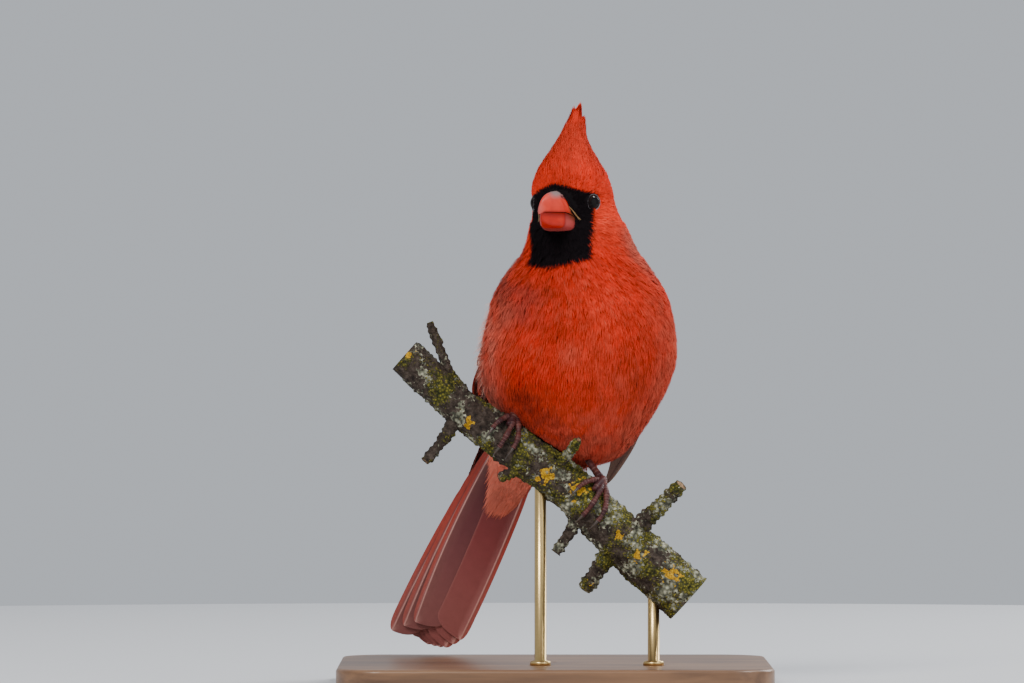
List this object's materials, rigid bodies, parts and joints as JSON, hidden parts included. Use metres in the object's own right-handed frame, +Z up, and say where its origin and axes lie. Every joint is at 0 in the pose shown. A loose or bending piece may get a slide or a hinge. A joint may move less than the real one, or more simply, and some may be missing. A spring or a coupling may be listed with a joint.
{
  "type": "northern cardinal, male, perched display model",
  "caption": "Life-size still model of a male northern cardinal gripping a cut length of branch, held over a flat wooden base by slim rods.",
  "frame": {"origin": "middle of the base's underside, on the surface the model stands on", "axes": "+Z up; the bird looks towards -Y, its left side is towards +X"},
  "size_m": [0.15, 0.126, 0.2011],
  "materials": {
    "red_feathers": "soft matt contour feathers, orange-red",
    "flight_feathers": "smooth dusky red vanes with paler shafts",
    "bill": "smooth coral-red horn",
    "eyes": "glossy, nearly black",
    "legs": "scaled purplish-brown skin",
    "claws": "dark horn",
    "bark": "rough dark bark with crusty lichen",
    "stand_wood": "oiled hardwood",
    "stand_brass": "satin brass rod"
  },
  "bodies": {
    "root": {"torso": "red_feathers", "neck": "red_feathers", "head": "red_feathers", "crest": "red_feathers", "bill_upper": "bill", "bill_lower": "bill", "eye_left": "eyes", "eye_right": "eyes", "tail": "flight_feathers", "wing_left": "flight_feathers", "wing_right": "flight_feathers", "perch_branch": "bark", "stand_base": "stand_wood", "stand_rod_1": "stand_brass", "stand_rod_2": "stand_brass", "shank_left": "legs", "foot_left": "legs", "claw_left_1": "claws", "claw_left_2": "claws", "claw_left_3": "claws", "claw_left_4": "claws", "shank_right": "legs", "foot_right": "legs", "claw_right_1": "claws", "claw_right_2": "claws", "claw_right_3": "claws", "claw_right_4": "claws"}
  },
  "joints": []
}
